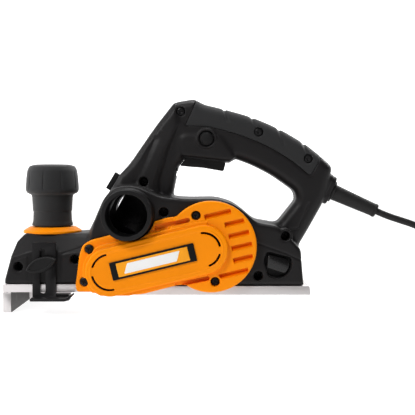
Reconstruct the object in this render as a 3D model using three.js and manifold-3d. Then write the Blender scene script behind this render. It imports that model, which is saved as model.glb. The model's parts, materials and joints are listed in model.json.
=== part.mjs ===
// Electric hand planer, 82 mm class, as an assembly of separate pieces.
// Millimetres. The nose points to -X, the belt cover is on the -Y side and +Z is up.
// Inside the planer group the sole is at z = 0; the group then stands on its lowest point.

import * as THREE from 'three';
import { mergeVertices } from 'three/addons/utils/BufferGeometryUtils.js';
import Module from 'manifold-3d';

const wasm = await Module();
wasm.setup();

// ---------------------------------------------------------------- driving dimensions

const GAP = 0.3; // between touching pieces
const SOLE_HALF_WIDTH = 41;
const SIDE = 42; // half width of the lower housing
const GRIP = 19; // half width of the handle
const REAR_END = 97.5;
const NOSE = -193.4;
const SHOE_TOP = 8.3;
const CUT_DEPTH = 2.5; // the front shoe rests this much above the rear one

const DRUM = { x: -90.4, z: 23.4, r: 22, half: 40.5 };
const MOTOR = { x: -3.7, z: 44.3 };
const DRUM_PULLEY_R = 16.5;
const MOTOR_PULLEY_R = 10.5;
const KNOB = { x: -153.2 };
const OUTLET = { x: -74, z: 76.5, bore: 19.5 };
const LEVER = { x: -89.5, z: 104.5, tilt: THREE.MathUtils.degToRad(-31) };
const VANE_ANGLE = THREE.MathUtils.degToRad(35); // the vane's lower edge leans to +Y, so chips leave on -Y
const TRIGGER_PIVOT = { x: 14, z: 126 };
const LOCK = { x: -0.9, z: 148.1, r: 6.4 };
const STOP = { x: -155.2, z: 29.5, yOut: -43.9, yIn: -41.5 };
const GUIDE_DROP = 17; // how far the guide hangs below the sole
const GUIDE_BOLT = { x: -168, z: 6 };
const STORE = { x: 66.2, z: 28.9 };
const GLAND = { x: 121.6, z: 97.3, slope: THREE.MathUtils.degToRad(-23.9), length: 49 };

const BELT_TILT = Math.atan2(MOTOR.z - DRUM.z, MOTOR.x - DRUM.x);
const FLANGE_Y = -48; // outer face of the cover's rim
const DISC_Y = -53;
const CASE_Y = -59;
const COVER_Y = -SIDE - GAP;
const DISC = { x: 3.3, z: 46.5, r: 42.7 };
const CASE_R = 22.6;

const CORD_R = 3.25;
const FLOOR_Z = -GUIDE_DROP;
const COIL = { x: 327.6, y: -25.5, rIn: 27.5, rOut: 47.5, high: 19.8 };

// the group's own offset puts the middle of the base at the origin
const ORIGIN = { x: -12.2, y: -6.3, z: -GUIDE_DROP };

// ---------------------------------------------------------------- materials

function material(color, roughness, metalness = 0) {
  return new THREE.MeshStandardMaterial({ color, roughness, metalness });
}

const FINISH = {
  shell: [0x2a2829, 0.62],
  shellDark: [0x1b191a, 0.6],
  soft: [0x434343, 0.85],
  orange: [0xff9300, 0.42],
  badge: [0xe9e9e6, 0.4],
  aluminium: [0xd5d3d2, 0.38, 0.9],
  steel: [0x9a9a9c, 0.35, 1],
  darkSteel: [0x2c2b2d, 0.45, 0.8],
  brass: [0xb08d45, 0.35, 1],
  copper: [0xa85e32, 0.4, 1],
  rubber: [0x1c1c1c, 0.8],
};

// ---------------------------------------------------------------- shapes

const planer = new THREE.Group();
planer.position.set(-ORIGIN.x, -ORIGIN.y, -ORIGIN.z);

function add(name, shape, finish, parent = planer) {
  const geometry = shape.isBufferGeometry ? shape : toGeometry(shape);
  const mesh = new THREE.Mesh(geometry, material(...FINISH[finish]));
  mesh.name = name;
  parent.add(mesh);
  return mesh;
}

function groupAt(x, y, z) {
  const group = new THREE.Group();
  group.position.set(x, y, z);
  planer.add(group);
  return group;
}

/** A closed geometry as a manifold solid. */
function toSolid(geometry) {
  const bare = geometry.clone();
  bare.deleteAttribute('normal');
  bare.deleteAttribute('uv');
  const merged = mergeVertices(bare, 1e-4);
  const corners = merged.index.array;
  const kept = [];
  for (let i = 0; i < corners.length; i += 3) {
    const [a, b, c] = [corners[i], corners[i + 1], corners[i + 2]];
    if (a !== b && b !== c && c !== a) kept.push(a, b, c);
  }
  return new wasm.Manifold(new wasm.Mesh({
    numProp: 3,
    vertProperties: new Float32Array(merged.attributes.position.array),
    triVerts: new Uint32Array(kept),
  }));
}

function toGeometry(solid) {
  const mesh = solid.getMesh();
  const geometry = new THREE.BufferGeometry();
  geometry.setAttribute('position', new THREE.BufferAttribute(mesh.vertProperties, 3));
  geometry.setIndex(new THREE.BufferAttribute(mesh.triVerts, 1));
  geometry.computeVertexNormals();
  return geometry;
}

function join(...geometries) {
  return geometries.map(asSolid).reduce((a, b) => a.add(b));
}

function cut(body, ...tools) {
  return tools.map(asSolid).reduce((a, b) => a.subtract(b), asSolid(body));
}

function asSolid(shape) {
  return shape.isBufferGeometry ? toSolid(shape) : shape;
}

/** A closed path through [x, z, round] corners; round is the distance from corner to tangent point. */
function rounded(corners, path = new THREE.Shape()) {
  const count = corners.length;
  corners.forEach(([x, z, round = 0], i) => {
    const corner = new THREE.Vector2(x, z);
    const before = new THREE.Vector2(...corners[(i + count - 1) % count].slice(0, 2));
    const after = new THREE.Vector2(...corners[(i + 1) % count].slice(0, 2));
    before.sub(corner);
    after.sub(corner);
    const reach = Math.min(round, 0.45 * before.length(), 0.45 * after.length());
    const start = before.setLength(reach).add(corner);
    const end = after.setLength(reach).add(corner);
    if (i === 0) path.moveTo(start.x, start.y);
    else path.lineTo(start.x, start.y);
    if (round > 0) path.quadraticCurveTo(x, z, end.x, end.y);
  });
  path.closePath();
  return path;
}

/** A side outline (x, z) extruded between two y values, with a bevel all round at both faces. */
function slab(shape, yLow, yHigh, bevel = 0, steps = 1, curveSegments = 2) {
  const geometry = new THREE.ExtrudeGeometry(shape, {
    depth: yHigh - yLow - 2 * bevel,
    bevelEnabled: bevel > 0,
    bevelThickness: bevel,
    bevelSize: bevel,
    bevelOffset: -bevel,
    bevelSegments: steps,
    curveSegments,
  });
  geometry.rotateX(Math.PI / 2);
  return geometry.translate(0, yHigh - bevel, 0);
}

function plate(corners, yLow, yHigh, bevel = 0, steps = 1) {
  return slab(rounded(corners), yLow, yHigh, bevel, steps);
}

/** An outline in the (y, z) plane extruded from xLow to xHigh. */
function crossBeam(corners, xLow, xHigh) {
  const geometry = new THREE.ExtrudeGeometry(rounded(corners), {
    depth: xHigh - xLow,
    bevelEnabled: false,
    curveSegments: 2,
  });
  geometry.rotateX(Math.PI / 2);
  geometry.rotateZ(Math.PI / 2);
  return geometry.translate(xLow, 0, 0);
}

/** A rod along y. */
function rod(x, z, r, yLow, yHigh, segments = 24) {
  return new THREE.CylinderGeometry(r, r, yHigh - yLow, segments).translate(x, (yLow + yHigh) / 2, z);
}

/** A rod along z. */
function post(x, y, r, zLow, zHigh, segments = 24) {
  return new THREE.CylinderGeometry(r, r, zHigh - zLow, segments)
    .rotateX(Math.PI / 2)
    .translate(x, y, (zLow + zHigh) / 2);
}

function box(xLow, xHigh, yLow, yHigh, zLow, zHigh) {
  return new THREE.BoxGeometry(xHigh - xLow, yHigh - yLow, zHigh - zLow)
    .translate((xLow + xHigh) / 2, (yLow + yHigh) / 2, (zLow + zHigh) / 2);
}

/** A profile of [radius, y] points turned about the y axis. */
function turned(profile, segments = 24) {
  const points = profile.map(([r, y]) => new THREE.Vector2(r, y));
  if (THREE.ShapeUtils.area(points) < 0) points.reverse();
  return new THREE.LatheGeometry([...points, points[0].clone()], segments);
}

/** A ring about the y axis. */
function ring(rIn, rOut, yLow, yHigh, segments = 24) {
  return turned([[rIn, yLow], [rOut, yLow], [rOut, yHigh], [rIn, yHigh]], segments);
}

/** A lathe profile of [radius, z] points that starts and ends on the z axis. */
function turnedUp(profile, segments = 32) {
  return new THREE.LatheGeometry(profile.map(([r, z]) => new THREE.Vector2(r, z)), segments)
    .rotateX(Math.PI / 2);
}

/** An obround about two wheel centres, as a side outline. */
function obround(rFront, rRear, path = new THREE.Shape()) {
  const span = Math.hypot(MOTOR.x - DRUM.x, MOTOR.z - DRUM.z);
  const lean = Math.asin((rFront - rRear) / span);
  const quarter = Math.PI / 2;
  path.absarc(MOTOR.x, MOTOR.z, rRear, BELT_TILT - quarter + lean, BELT_TILT + quarter - lean, false);
  path.absarc(DRUM.x, DRUM.z, rFront, BELT_TILT + quarter - lean, BELT_TILT + 3 * quarter + lean, false);
  path.closePath();
  return path;
}

// ---------------------------------------------------------------- base, front shoe, guide

function baseFrame() {
  const sole = plate(
    [[-80, 0], [REAR_END, 0, 1], [REAR_END - 1, SHOE_TOP, 1.5], [-70.5, SHOE_TOP]],
    -SOLE_HALF_WIDTH, SOLE_HALF_WIDTH,
  );
  const cheekOutline = [[-97, 5, 3], [-107.5, 12, 3], [-107.5, 34, 6], [-98, 43, 8], [-80, 44, 8],
    [-62, 32, 6], [-59, 4.8, 2]];
  let frame = asSolid(sole);
  for (const side of [-1, 1]) {
    const inner = side * (SIDE + GAP);
    const outer = side * (SIDE + GAP + 3.3);
    const [low, high] = [Math.min(inner, outer), Math.max(inner, outer)];
    const root = side * (SOLE_HALF_WIDTH - 1);
    frame = join(frame, plate(cheekOutline, low, high));
    frame = join(frame, box(-69, -60, Math.min(root, outer), Math.max(root, outer), 4.8, SHOE_TOP));
    frame = cut(frame, rod(DRUM.x, DRUM.z, 12.5 + GAP, low - 1, high + 1));
  }
  return frame;
}

function frontShoe() {
  const bottom = CUT_DEPTH;
  const top = 10;
  const shoe = plate(
    [[NOSE, bottom, 0.8], [NOSE, top, 0.8], [-113, top, 0.8], [-103, bottom, 0.8]],
    -SOLE_HALF_WIDTH, SOLE_HALF_WIDTH,
  );
  const boss = box(KNOB.x - 13, KNOB.x + 13, -13, 13, top - 1, 28);
  const bore = post(KNOB.x, 0, 5, 12, 29);
  const boltHole = rod(GUIDE_BOLT.x, GUIDE_BOLT.z, 2.7, 33, SOLE_HALF_WIDTH + 1, 12);
  return cut(join(shoe, boss), bore, boltHole);
}

function edgeGuide() {
  const foot = crossBeam(
    [[-SOLE_HALF_WIDTH, 2.2, 1], [46.6, 2.2], [46.6, -GUIDE_DROP, 1], [-SOLE_HALF_WIDTH, -GUIDE_DROP, 2]],
    NOSE, NOSE + 7.6,
  );
  const arm = plate(
    [[NOSE, -GUIDE_DROP, 1], [NOSE + 51, -GUIDE_DROP, 6], [NOSE + 51, 20, 8], [NOSE + 40, 31, 6], [NOSE, 31, 6]],
    SIDE + GAP, 46.6,
  );
  const slot = plate(
    [[GUIDE_BOLT.x - 3, 3, 2.9], [GUIDE_BOLT.x - 3, 22, 2.9], [GUIDE_BOLT.x + 3, 22, 2.9], [GUIDE_BOLT.x + 3, 3, 2.9]],
    SOLE_HALF_WIDTH - 1, 48,
  );
  return cut(join(foot, arm), slot);
}

add('base_frame', baseFrame(), 'aluminium');
add('front_shoe', frontShoe(), 'aluminium');
add('edge_guide', edgeGuide(), 'aluminium');

// ---------------------------------------------------------------- housing

const SCREWS = [ // x, z, y of the outer face, depth of the head below it
  [-25.9, 174.3, -GRIP, 1.7], [49.4, 154.6, -GRIP, 1.7], [97.4, 128.8, -GRIP, 1.7],
  [-61.2, 106.7, -26, 10], [-41.3, 78.3, -SIDE, 15], [73.7, 55.5, -SIDE, 15],
  [48, 18.1, -SIDE, 15], [-178.7, 26.9, -SIDE, 15], [-125.3, 33.8, -SIDE, 15],
];
const COVER_SCREWS = [ // x, z, y of the outer face
  [-110.5, 44, FLANGE_Y], [-115.3, 13.4, FLANGE_Y], [-10.7, 75.8, DISC_Y], [7.1, 14, DISC_Y],
];

const HANDLE_OUTLINE = [
  [-114, 60], [-96, 94, 6], [-84, 114, 8], [-75.5, 124, 6], [-50.5, 159, 12], [-31, 183.5, 5], [-13, 186.6, 5],
  [-3.6, 181.4, 4], [15, 177, 8], [42.5, 169.4, 12], [69.3, 158.1, 12], [95, 143.1, 8], [109, 132, 5],
  [121.5, 121, 6], [113.5, 88, 8], [96, 56.6, 10], [86, 40], [-110, 40],
];
const HAND_OPENING = [
  [-36, 84, 3], [-28.5, 121, 2], [-21, 131.2, 2], [18.6, 125.4], [21.5, 125.4], [27, 129, 3], [42.5, 123.4, 8],
  [61.4, 113.8, 8], [74, 105.2, 6], [84.5, 97.5, 5], [86.5, 89, 5], [68.3, 66, 5], [44.4, 64, 5],
];
const BODY_OUTLINE = [
  [-191.8, 10.5], [-191.8, 14.3], [-182, 49.5, 4], [-175, 57.3, 4], [-124, 57.3, 4], [-110.5, 65, 3],
  [-96, 93, 6], [-88, 101, 6], [-62, 101, 8], [-44, 93, 6], [-21.4, 90.5, 8], [8.3, 91, 8], [23.7, 86.4, 6],
  [34.2, 79.2, 6], [46.5, 68.3, 5], [66, 65, 5], [82.3, 49.5, 4], [88.3, 43, 5], [89, 32], [91, 9],
];

/** The handle loop; the inset one, filled in, is the core under the soft skin. */
function handleSolid(inset = 0) {
  const shape = rounded(HANDLE_OUTLINE);
  if (inset === 0) shape.holes.push(rounded([...HAND_OPENING].reverse(), new THREE.Path()));
  const bevel = 7;
  const half = GRIP - inset;
  const geometry = new THREE.ExtrudeGeometry(shape, {
    depth: 2 * (half - bevel),
    bevelEnabled: true,
    bevelThickness: bevel,
    bevelSize: 5.5,
    bevelOffset: -5.5 - inset,
    bevelSegments: 2,
    curveSegments: 2,
  });
  geometry.rotateX(Math.PI / 2);
  return toSolid(geometry.translate(0, half - bevel, 0));
}

function columnSolid() {
  return plate([
    [-113, 60], [-96, 94], [-84, 114], [-74, 124], [-60, 143], [-44, 140], [-36, 104], [-37, 60],
  ], -27, 27, 6, 2);
}

/** The region of the handle that the soft skin covers. */
function gripRegion(grow = 0) {
  return plate([
    [-21.4 - grow, 160.5 - grow], [-4, 160.5 - grow, 8], [13.2, 157.3 - grow, 8], [34.2, 151 - grow, 8],
    [59.4, 140.6 - grow, 8], [80.4, 128 - grow, 8], [102.4, 111.7 - grow], [124, 108 - grow], [126, 150],
    [60, 190], [-8 - grow, 190],
  ], -40, 40);
}

function fullHousing() {
  const skirt = crossBeam(
    [[-SIDE, 5], [-SIDE, 40, 3], [-26, 57.5, 4], [26, 57.5, 4], [SIDE, 40, 3], [SIDE, 5]], -195, -112,
  );
  const rest = box(-112.5, 120, -SIDE - 1, SIDE + 1, 0, 110);
  const body = toSolid(plate(BODY_OUTLINE, -SIDE, SIDE, 3)).intersect(join(skirt, rest));
  return join(handleSolid(), columnSolid(), body);
}

function hollows() {
  return [
    rod(MOTOR.x, MOTOR.z, 34, -33, 38.2, 32),
    rod(MOTOR.x, MOTOR.z, 11, -SIDE - 1, 39.6),
    rod(DRUM.x, DRUM.z, 25.5, -SIDE - 1, SIDE + 1, 32),
    box(-110, -66, -SIDE - 1, SIDE + 1, 0, 14),
    plate([[-110, 28], [-107, 60, 6], [-93, 90, 4], [-80, 98, 4], [-56.5, 92, 4], [-56.5, 60, 4], [-68, 30]], -30, 30),
    rod(OUTLET.x, OUTLET.z, OUTLET.bore, -SIDE - 1, SIDE + 1, 28),
    crossBeam([[-38, 8], [-38, 38.5], [-24.5, 52.5], [24.5, 52.5], [38, 38.5], [38, 8]], -179, -116),
    post(KNOB.x, 0, 14.6, 49, 70),
    plate([[46, 12], [86, 12], [83, 40, 3], [46, 58, 3]], -14, 38),
    plate([[-60, 112, 3], [-44, 138, 3], [-30, 150, 3], [-30, 112, 3]], -14, 14),
  ];
}

/** The handle's switch room, trigger slot and lock button hole. */
function switchRoom() {
  return [
    box(-26, 16, -9.6, 9.6, 138, 161),
    plate([[-29, 119], [18.5, 112], [20.5, 127, 1], [17, 131.5], [10, 139], [-29, 139]], -8.8, 8.8),
    rod(LOCK.x, LOCK.z, LOCK.r + 0.4, -GRIP - 8, -9, 20),
    rod(TRIGGER_PIVOT.x, TRIGGER_PIVOT.z, 2.2, -11.5, 11.5, 12),
  ];
}

function bosses() {
  return [[-178.7, 26.9], [-125.3, 33.8], [48, 18.1], [73.7, 55.5]].map(
    ([x, z]) => rod(x, z, 7, -38.5, 38.5, 16),
  );
}

const shoeRoom = box(NOSE, -100, -SIDE - 1, SIDE + 1, 0, 10.35);
const stopRecess = plate([[-170, 5], [-170, 49.5, 2], [-143, 49.5, 4], [-138.5, 43, 2], [-138.5, 5]],
  -SIDE - 1, -41.2);
const storeRecess = plate([[STORE.x - 13.4, STORE.z + 4, 2], [STORE.x - 10, STORE.z + 12.5, 3],
  [STORE.x + 13, STORE.z + 6.5, 3], [STORE.x + 13.2, STORE.z - 3, 4], [STORE.x + 8, STORE.z - 11, 4],
  [STORE.x, STORE.z - 13.5, 5], [STORE.x - 9, STORE.z - 11, 4]], -SIDE - 1, -32);
const intakeSlots = [-2, -1, 0, 1, 2].map(
  (i) => plate([[MOTOR.x - 18, MOTOR.z + 9 * i - 1.8], [MOTOR.x + 18, MOTOR.z + 9 * i - 1.8],
    [MOTOR.x + 18, MOTOR.z + 9 * i + 1.8], [MOTOR.x - 18, MOTOR.z + 9 * i + 1.8]], 39, SIDE + 1),
);

function housing() {
  let solid = fullHousing();
  solid = cut(solid, gripRegion(0.3)).add(handleSolid(2.6).intersect(asSolid(gripRegion(0.35))));
  solid = cut(solid, ...hollows());
  solid = join(solid, ...bosses());
  solid = cut(solid, ...switchRoom(), shoeRoom);
  for (const [x, z, face, depth] of SCREWS) {
    solid = cut(solid, rod(x, z, 4.5, face - 4, face + depth + 3.3, 14), rod(x, z, 2.3, face - 2, 12, 10));
  }
  return solid;
}

const shells = housing();
const leverBore = new THREE.CylinderGeometry(3.4, 3.4, 40, 16)
  .rotateZ(Math.PI / 2)
  .translate(8, 0, 0)
  .rotateY(-LEVER.tilt)
  .translate(LEVER.x, 0, LEVER.z);
const glandBore = new THREE.CylinderGeometry(8.9, 8.9, 14, 24)
  .rotateZ(Math.PI / 2)
  .rotateY(-GLAND.slope)
  .translate(GLAND.x - 4, 0, GLAND.z + 1.5);

function leftHousing() {
  const half = shells.intersect(asSolid(box(-200, 140, -60, -GAP / 2, 0, 200)));
  const screwHoles = COVER_SCREWS.map(([x, z]) => rod(x, z, 2.3, -SIDE - 1, -31, 12));
  const stopHole = rod(STOP.x, STOP.z, 2.8, -SIDE - 1, -37, 12);
  return cut(half, stopRecess, storeRecess, stopHole, leverBore, glandBore, ...screwHoles);
}

function rightHousing() {
  const half = shells.intersect(asSolid(box(-200, 140, GAP / 2, 60, 0, 200)));
  const bulge = plate([[-120, 11], [-120, 42], [-104, 52], [-76, 52], [-56, 38], [-52, 11]], 37, 50, 3);
  const cheekRoom = plate([[-114, 3], [-114, 36, 6], [-100, 46, 8], [-80, 46, 8], [-60, 33, 6], [-57, 3]],
    38, 47);
  const outletLip = ring(OUTLET.bore, 23, SIDE - 1, 46, 32).translate(OUTLET.x, 0, OUTLET.z);
  const drumRoom = rod(DRUM.x, DRUM.z, 25.5, 30, SIDE + 1, 24);
  return cut(join(half, bulge, outletLip), cheekRoom, drumRoom, leverBore, glandBore, ...intakeSlots,
    box(-110, -66, 0.1, 60, 0, 11.2));
}

function gripSkin(side) {
  const low = side < 0 ? -40 : GAP / 2;
  const high = side < 0 ? -GAP / 2 : 40;
  const region = asSolid(gripRegion()).intersect(asSolid(box(-40, 140, low, high, 100, 200)));
  let skin = handleSolid().intersect(region).subtract(handleSolid(2.3));
  for (const [x, z] of SCREWS.slice(1, 3)) {
    skin = cut(skin, rod(x, z, 4.5, -GRIP - 2, -10, 16));
  }
  return cut(skin, glandBore);
}

add('left_housing', leftHousing(), 'shell');
add('right_housing', rightHousing(), 'shell');
add('grip_left', gripSkin(-1), 'soft');
add('grip_right', gripSkin(1), 'soft');

/** A screw along y: its head's outer face is at y = 0. */
function solidScrew(length) {
  return join(rod(0, 0, 3.9, 0, 3, 12), rod(0, 0, 1.9, 2.5, length, 8));
}

SCREWS.forEach(([x, z, face, depth], i) => {
  const head = face + depth;
  add(`housing_screw_${i + 1}`, solidScrew(11.5 - head), 'darkSteel', groupAt(x, head, z));
});

// ---------------------------------------------------------------- belt cover

function beltCover() {
  const rim = [
    [-124, 9, 2], [-122.4, 3.8, 2.5], [-104.5, 3.8, 2], [-99.7, 0.9, 2], [-62, 1.2, 5], [-30, 9.5, 4],
    [0, 12, 4], [0, 78, 6], [-37.6, 73.5, 3], [-51.6, 69.2], [-92.8, 56.8, 3], [-109.8, 52.3, 4], [-117, 47.5, 3],
    [-120, 38.5, 3],
  ];
  const room = [[-119, 12, 3], [-119, 40, 5], [-110, 47, 5], [-40, 67, 3], [-10, 70], [-10, 18], [-32, 12, 3],
    [-60, 4.4, 4], [-98, 4.2, 2], [-104, 6.6, 2]];
  const outside = join(
    plate(rim, FLANGE_Y, COVER_Y, 1),
    rod(DISC.x, DISC.z, DISC.r, DISC_Y + 1.5, COVER_Y, 40),
    new THREE.CylinderGeometry(DISC.r, DISC.r - 1.5, 1.5, 40).translate(DISC.x, DISC_Y + 0.75, DISC.z),
    slab(obround(CASE_R, CASE_R), CASE_Y, COVER_Y, 1, 1, 10),
  );
  const inside = [
    plate(room, FLANGE_Y + 2.2, COVER_Y + 1),
    rod(DISC.x, DISC.z, DISC.r - 2.4, DISC_Y + 2.2, COVER_Y + 1, 40),
    slab(obround(CASE_R - 2.2, CASE_R - 2.2), CASE_Y + 2, COVER_Y + 1, 0, 1, 10),
  ];
  const holes = COVER_SCREWS.flatMap(([x, z]) => [
    rod(x, z, 4.4, CASE_Y - 1, FLANGE_Y + 1.9, 14), rod(x, z, 2.3, CASE_Y - 1, COVER_Y + 1, 10),
  ]);
  const posts = COVER_SCREWS.map(([x, z, face]) => rod(x, z, 6.2, face + 0.5, COVER_Y, 16));
  const portRoom = rod(OUTLET.x, OUTLET.z, 25.2, CASE_Y - 1, COVER_Y + 1, 32);
  const cover = cut(cut(outside, ...inside).add(join(...posts)), ...holes, portRoom);
  return cut(cover, ...coverSlots());
}

/** Cooling slots across the disc: row number from the belt line, start and end along it. */
function coverSlots() {
  const rows = [[2.5, 8, 33], [1.5, 24.5, 43], [0.5, 25.5, 45], [-0.5, 25.5, 45], [-1.5, 24.5, 43], [-2.5, 8, 36]];
  const pitch = 11.45;
  return rows.map(([row, start, end]) => new THREE.BoxGeometry(end - start, 20, 3.6)
    .translate((start + end) / 2, DISC_Y, row * pitch)
    .rotateY(-BELT_TILT)
    .translate(MOTOR.x, 0, MOTOR.z));
}

function tiltedBlock(width, height, yLow, yHigh, bevel) {
  const shape = rounded([[-width / 2, -height / 2, bevel], [width / 2, -height / 2, bevel],
    [width / 2, height / 2, bevel], [-width / 2, height / 2, bevel]]);
  return slab(shape, yLow, yHigh).rotateY(-BELT_TILT);
}

add('belt_cover', beltCover(), 'orange');
add('badge_plate', tiltedBlock(79.8, 16.9, -0.6, 0.6, 1.2), 'badge', groupAt(-50.2, CASE_Y - GAP - 0.6, 33.3));
COVER_SCREWS.forEach(([x, z], i) => {
  add(`cover_screw_${i + 1}`, solidScrew(17), 'darkSteel', groupAt(x, FLANGE_Y - 1.4, z));
});

// ---------------------------------------------------------------- depth knob

const knobGroup = groupAt(KNOB.x, 0, 0);
add('depth_knob', turnedUp([
  [0, 62.8], [18, 62.8], [20.2, 63.6], [18.7, 77.7], [20.2, 93.6], [25, 95.6], [25.8, 100.2], [25.3, 110], [24.2, 118.4],
  [21, 122.6], [16, 123.5], [0, 123.5],
]), 'shellDark', knobGroup);
add('knob_collar', new THREE.LatheGeometry([[14.3, 57.7], [28.2, 57.7], [28.2, 59.2], [22.3, 62.3], [14.3, 62.3],
  [14.3, 57.7]].map(([r, z]) => new THREE.Vector2(r, z)), 36).rotateX(Math.PI / 2), 'orange', knobGroup);
add('depth_spindle', join(post(0, 0, 4.6, 14, 49, 20), post(0, 0, 13.8, 48.5, 62.5, 24)), 'steel', knobGroup);

function helix(r, wire, zLow, zHigh, turns) {
  const steps = turns * 10;
  const points = [];
  for (let i = 0; i <= steps; i += 1) {
    const angle = (2 * Math.PI * i) / 10;
    points.push(new THREE.Vector3(
      r * Math.cos(angle), r * Math.sin(angle), zLow + ((zHigh - zLow) * i) / steps,
    ));
  }
  return tube(points, wire, 6, steps);
}

function tube(points, r, sides, steps) {
  const section = new THREE.Shape();
  for (let i = 0; i < sides; i += 1) {
    const angle = (2 * Math.PI * i) / sides;
    if (i === 0) section.moveTo(r, 0);
    else section.lineTo(r * Math.cos(angle), r * Math.sin(angle));
  }
  section.closePath();
  return new THREE.ExtrudeGeometry(section, {
    steps,
    extrudePath: new THREE.CatmullRomCurve3(points),
    bevelEnabled: false,
  });
}

add('shoe_spring', helix(8.5, 0.8, 29.4, 47.2, 4), 'steel', knobGroup);

// ---------------------------------------------------------------- cutter drum

const drumGroup = groupAt(DRUM.x, 0, DRUM.z);

function drumBody() {
  const body = rod(0, 0, DRUM.r, -DRUM.half, DRUM.half, 36);
  const groove = (side) => box(side > 0 ? 13.6 : -23, side > 0 ? 23 : -13.6, -41, 41, -5.4, 5.4);
  return cut(body, groove(1), groove(-1), rod(0, 0, 6.3, -41, 41, 20));
}

add('cutter_drum', drumBody(), 'aluminium', drumGroup);
add('drum_shaft', join(rod(0, 0, 6, -46.5, 47, 20), rod(0, 0, 4, -57, -46, 16)), 'steel', drumGroup);
[1, -1].forEach((side, i) => {
  const blade = box(13.9, 22.9, -DRUM.half, DRUM.half, -4.9, -3.7);
  const clamp = box(13.9, 20.8, -DRUM.half, DRUM.half, -3.4, 5);
  const turn = side > 0 ? 0 : Math.PI;
  add(`blade_${i + 1}`, blade.rotateY(turn), 'steel', drumGroup);
  add(`blade_clamp_${i + 1}`, clamp.rotateY(turn), 'darkSteel', drumGroup);
});
/** A belt pulley with a flange on its inner side. */
function pulley(r) {
  return turned([[4.3, -56.2], [r - 0.4, -56.2], [r - 0.4, -47.8], [r + 0.9, -47.8], [r + 0.9, -47], [4.3, -47]], 24);
}

add('drum_pulley', pulley(DRUM_PULLEY_R), 'darkSteel', drumGroup);
add('drum_bearing_left', ring(6.3, 12.5, -46.6, -41.2, 24), 'steel', drumGroup);
add('drum_bearing_right', ring(6.3, 12.5, 41.2, 46.6, 24), 'steel', drumGroup);

// ---------------------------------------------------------------- motor and belt

const motorGroup = groupAt(MOTOR.x, 0, MOTOR.z);

function fan() {
  const blades = Array.from({ length: 8 }, (_, i) => box(9, 29, -31, -24.5, -0.8, 0.8)
    .rotateY((i * Math.PI) / 4));
  return join(ring(4.3, 30, -24.8, -22.8, 24), ring(4.3, 11, -31, -22.8, 24), ...blades);
}

function stator() {
  const round = ring(21, 32.6, -19, 18, 32);
  return cut(round, box(-4, 4, -30, 30, 29.5, 40), box(-4, 4, -30, 30, -40, -29.5));
}

add('motor_shaft', rod(0, 0, 4, -57, 38, 16), 'steel', motorGroup);
add('armature', turned([[4.3, -19], [12, -19], [15, -14], [20, -13.5], [20, 14], [15, 15], [12, 19.5], [4.3, 19.5]], 28),
  'copper', motorGroup);
add('stator', stator(), 'steel', motorGroup);
add('commutator', ring(4.3, 10.8, 20.2, 31, 24), 'copper', motorGroup);
add('fan', fan(), 'shellDark', motorGroup);
add('motor_bearing_left', ring(4.3, 10.7, -41.5, -34.5, 20), 'steel', motorGroup);
add('motor_bearing_right', ring(4.3, 10.7, 33, 39.3, 20), 'steel', motorGroup);
add('motor_pulley', pulley(MOTOR_PULLEY_R), 'darkSteel', motorGroup);
[1, -1].forEach((side, i) => {
  const turn = side > 0 ? 0 : Math.PI;
  const brush = join(box(-5, 5, 21.4, 30.4, 14, 31), box(-3.4, 3.4, 22.8, 29, 11.2, 20));
  add(`brush_${i + 1}`, brush.rotate([0, THREE.MathUtils.radToDeg(turn), 0]), 'brass', motorGroup);
});

function driveBelt() {
  const shape = obround(DRUM_PULLEY_R + 2.2, MOTOR_PULLEY_R + 2.2);
  shape.holes.push(obround(DRUM_PULLEY_R, MOTOR_PULLEY_R, new THREE.Path()));
  return slab(shape, -55.8, -48.2, 0, 1, 10);
}

add('drive_belt', driveBelt(), 'rubber');

// ---------------------------------------------------------------- chip outlet and deflector

const outletGroup = groupAt(OUTLET.x, 0, OUTLET.z);
add('outlet_port', turned([
  [19.2, -SIDE - GAP], [24.6, -SIDE - GAP], [24.6, -46], [22.4, -47.5], [22.4, -63], [21.8, -69], [19.2, -69],
], 36), 'shellDark', outletGroup);

const leverGroup = groupAt(LEVER.x, 0, LEVER.z);
leverGroup.rotation.y = -LEVER.tilt;
// in this group +x runs into the machine along the lever's own axis
add('chip_lever', join(
  box(-6.8, -1.8, -4, 4, -9, 9),
  new THREE.CylinderGeometry(3.1, 3.1, 19, 16).rotateZ(Math.PI / 2).translate(7, 0, 0),
), 'shellDark', leverGroup);
const vane = plate(
  [[17.2, 2], [35.5, 2], [50, -28], [50, -42, 2], [12, -42, 2], [12, -4], [17.2, -4]], -1.2, 1.2,
).rotateX(VANE_ANGLE);
add('chip_deflector', vane, 'steel', leverGroup);

// ---------------------------------------------------------------- rebate stop and wing bolts

function rebateStop() {
  const strip = plate([[-164.9, -3.4], [-164.9, 50, 1], [-142.8, 50, 1], [-142.8, -3.4]], STOP.yOut, STOP.yIn);
  const foot = plate(
    [[-164.5, -3.6, 1], [-164.5, -1.2, 0.6], [-131, -1.2, 3], [-126.4, 2.2], [-125.2, 1.2], [-130, -3.6, 3]],
    -59, COVER_Y - 0.1,
  );
  const slot = plate([[-157.9, 1.6, 2.6], [-157.9, 44, 2.6], [-152.5, 44, 2.6], [-152.5, 1.6, 2.6]], -60, -40);
  return cut(join(strip, foot), slot);
}

/** A wing bolt about the y axis, wings on the low-y side. */
function wingBolt(shank) {
  const wing = new THREE.Shape();
  wing.moveTo(-15, 0);
  wing.quadraticCurveTo(-3, 8, 3, 6);
  wing.quadraticCurveTo(9, 5, 15, 0);
  wing.quadraticCurveTo(3, -8, -3, -6);
  wing.quadraticCurveTo(-9, -5, -15, 0);
  return join(
    slab(wing, -9.5, -1.2, 0, 1, 6),
    rod(0, 0, 6, -2, 0, 16),
    rod(0, 0, 2.4, -1, shank, 12),
  ).rotate([0, -20, 0]);
}

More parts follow.
